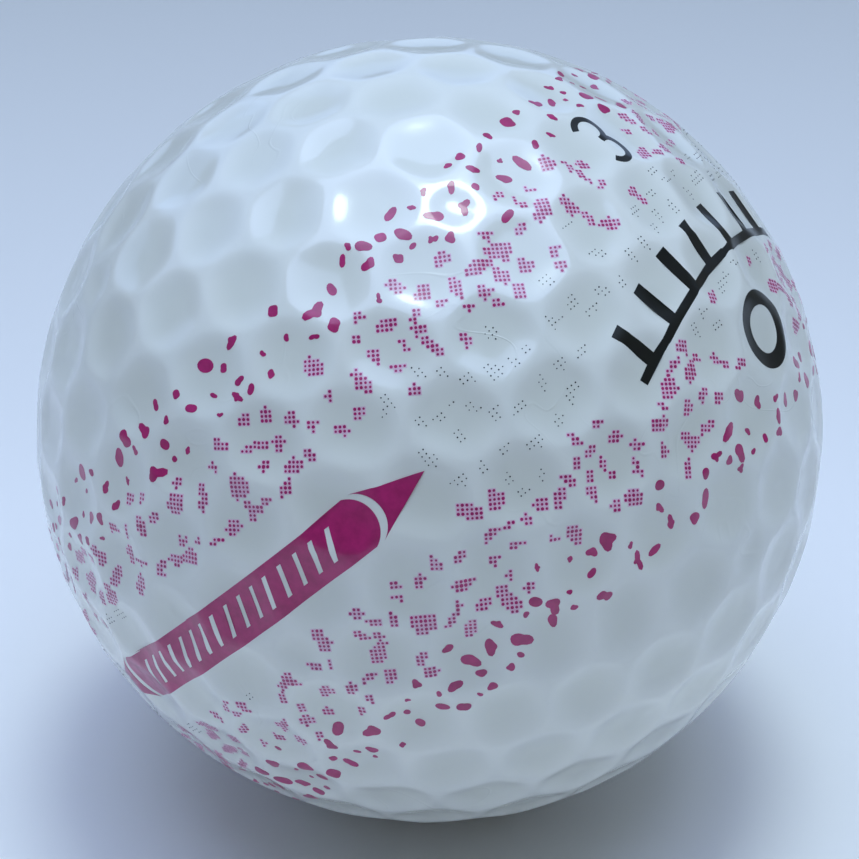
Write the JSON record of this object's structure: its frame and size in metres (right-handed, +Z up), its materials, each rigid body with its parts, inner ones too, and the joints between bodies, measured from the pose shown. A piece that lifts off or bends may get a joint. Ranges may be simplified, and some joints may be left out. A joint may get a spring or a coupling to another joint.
{
  "type": "golf ball",
  "caption": "Golf ball with a hexagonal dimple network, a rubber core inside a moulded cover, an alignment arrow and plain printed marks.",
  "frame": {"origin": "the ball's centre", "axes": "+Z up, away from what the ball rests on; +Y away from the side that faces the viewer, so that the arrow and the printed marks are on the -Y and +X sides"},
  "size_m": [0.0425, 0.0426, 0.0426],
  "materials": {
    "core_rubber": "matt moulded rubber",
    "cover_ionomer": "white ionomer under a gloss clear coat",
    "magenta_ink": "pad-printed ink under the clear coat",
    "black_ink": "pad-printed ink under the clear coat"
  },
  "bodies": {
    "root": {"core": "core_rubber", "cover_half_a": "cover_ionomer", "cover_half_b": "cover_ionomer", "arrow_bar_print": "magenta_ink", "arrow_front_tip_print": "magenta_ink", "arrow_rear_tip_print": "magenta_ink", "play_number_print": "black_ink", "curved_scale_print": "black_ink", "ring_print": "black_ink"}
  },
  "joints": []
}
